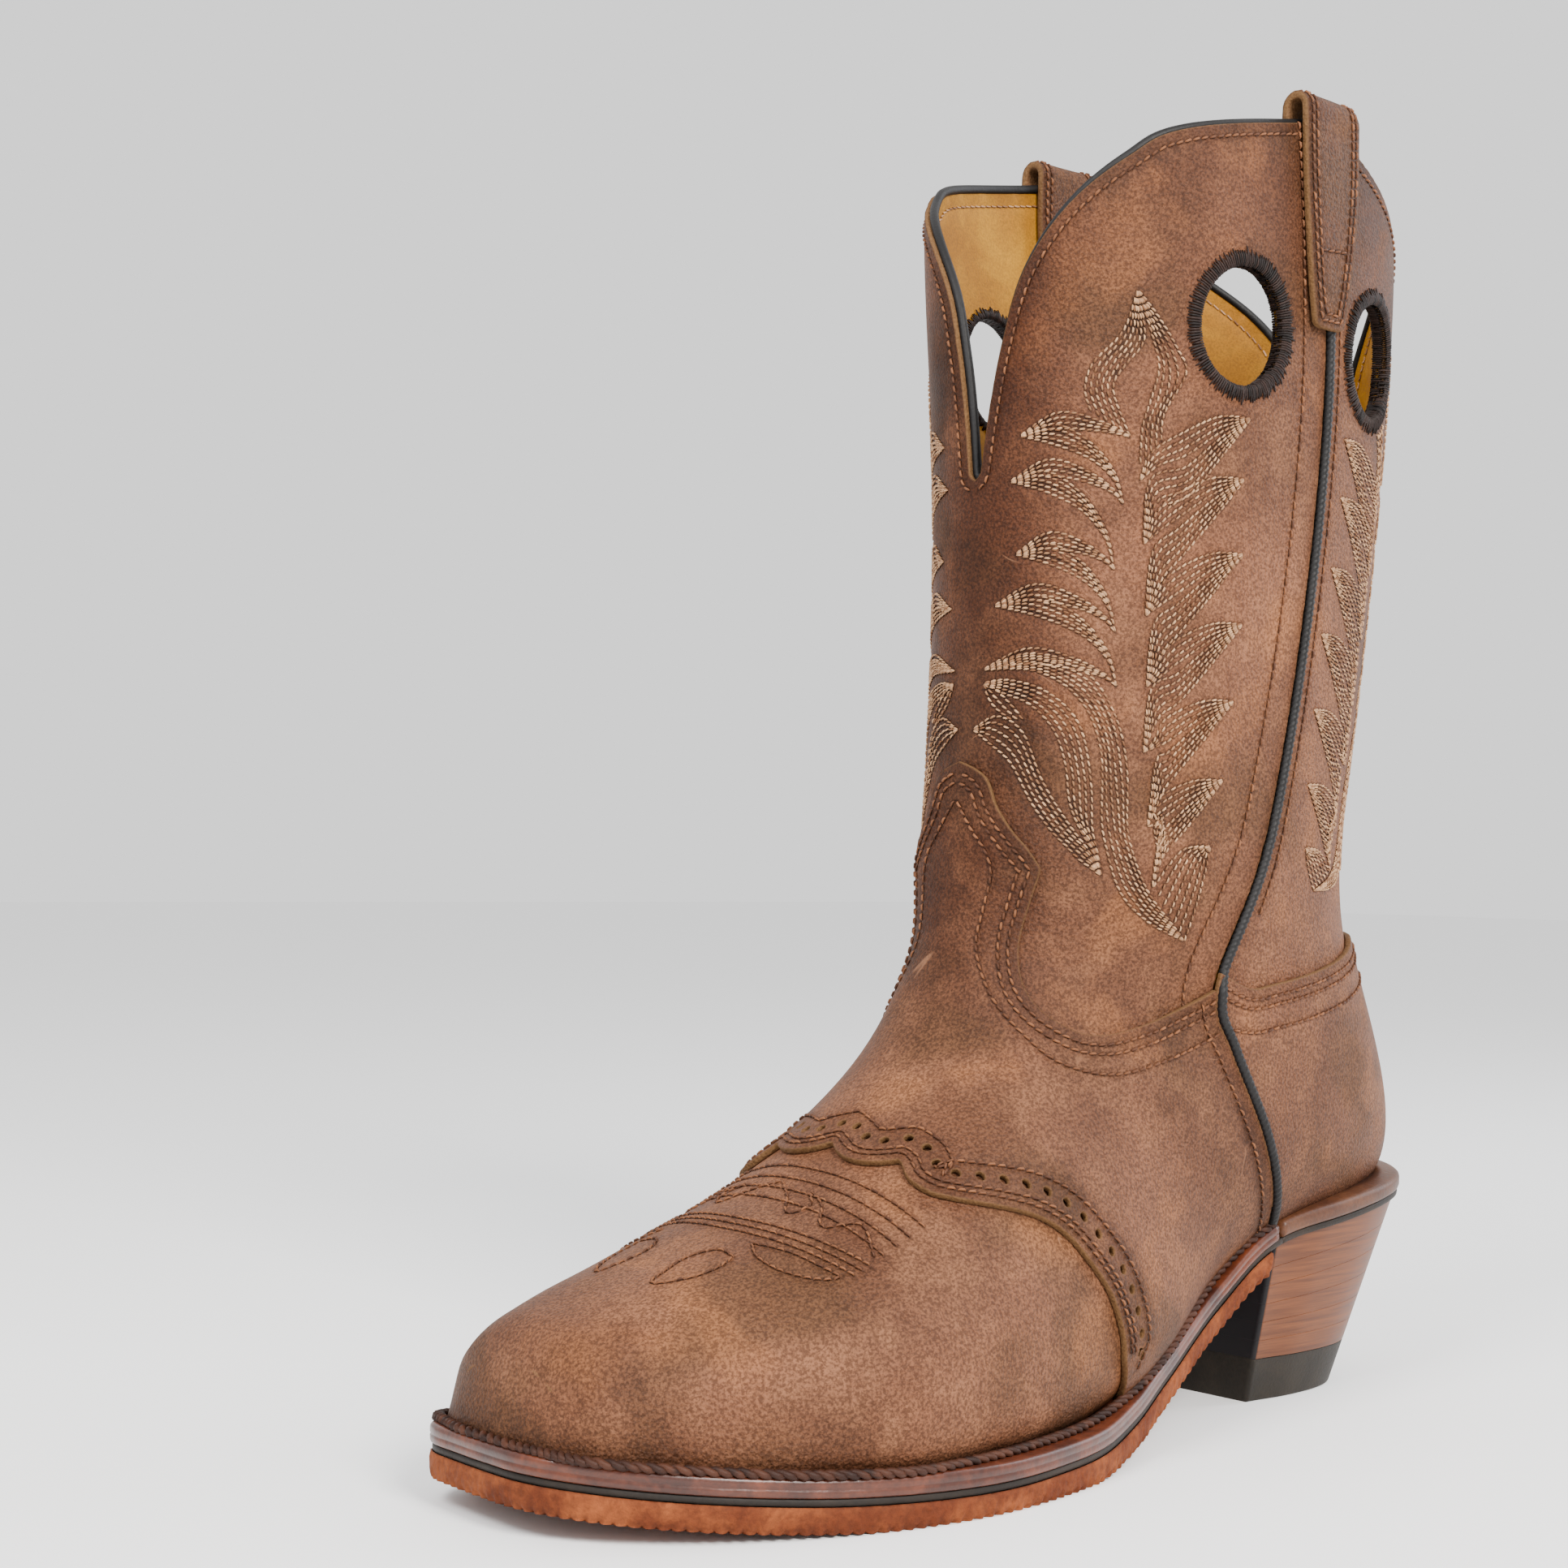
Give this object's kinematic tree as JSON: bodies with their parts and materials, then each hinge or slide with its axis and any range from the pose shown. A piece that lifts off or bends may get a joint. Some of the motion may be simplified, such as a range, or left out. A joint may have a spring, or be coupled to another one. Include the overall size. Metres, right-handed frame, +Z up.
{
  "type": "cowboy boot",
  "caption": "Left western riding boot with notched shaft, pull holes, pull straps, saddle vamp, welted sole and underslung stacked heel.",
  "frame": {"origin": "middle of the boot's box, on the ground under the sole and heel", "axes": "+X towards the toe, +Y towards the outer (lateral) side of the left foot, +Z up the shaft"},
  "size_m": [0.305, 0.1167, 0.347],
  "materials": {
    "leather": "oiled pull-up leather, matt",
    "strap_leather": "oiled leather, matt",
    "lining": "smooth dyed lining leather",
    "piping": "waxed black leather cord",
    "thread": "bonded nylon thread",
    "stiffener": "resin-stiffened felt board",
    "insole_leather": "vegetable-tanned leather",
    "cork": "ground cork paste",
    "steel": "bare steel",
    "welt_leather": "burnished edge, semi-gloss",
    "midsole": "dark edge dressing",
    "outsole_leather": "rough sanded edge, fine tread",
    "heel_leather": "stacked leather, waxed edge",
    "cap_rubber": "matt rubber"
  },
  "bodies": {
    "root": {"back_shaft_lining": "lining", "back_shaft_panel": "leather", "cap_nails": "steel", "cork_filler": "cork", "counter_lining": "lining", "counter_stiffener": "stiffener", "front_shaft_lining": "lining", "front_shaft_panel": "leather", "heel_cap": "cap_rubber", "heel_counter": "leather", "heel_lift_1": "heel_leather", "heel_lift_2": "heel_leather", "heel_lift_3": "heel_leather", "heel_lift_4": "heel_leather", "heel_lift_5": "heel_leather", "heel_nails": "steel", "heel_rand": "welt_leather", "insole": "insole_leather", "midsole": "midsole", "outsole": "outsole_leather", "pull_hole_binding_back_left": "thread", "pull_hole_binding_back_right": "thread", "pull_hole_binding_front_left": "thread", "pull_hole_binding_front_right": "thread", "pull_strap_left": "strap_leather", "pull_strap_right": "strap_leather", "saddle_vamp": "leather", "shank": "steel", "side_piping_left": "piping", "side_piping_right": "piping", "topline_piping_back": "piping", "topline_piping_front": "piping", "vamp": "leather", "vamp_lining": "lining", "welt": "welt_leather", "welt_stitching": "thread"}
  },
  "joints": []
}
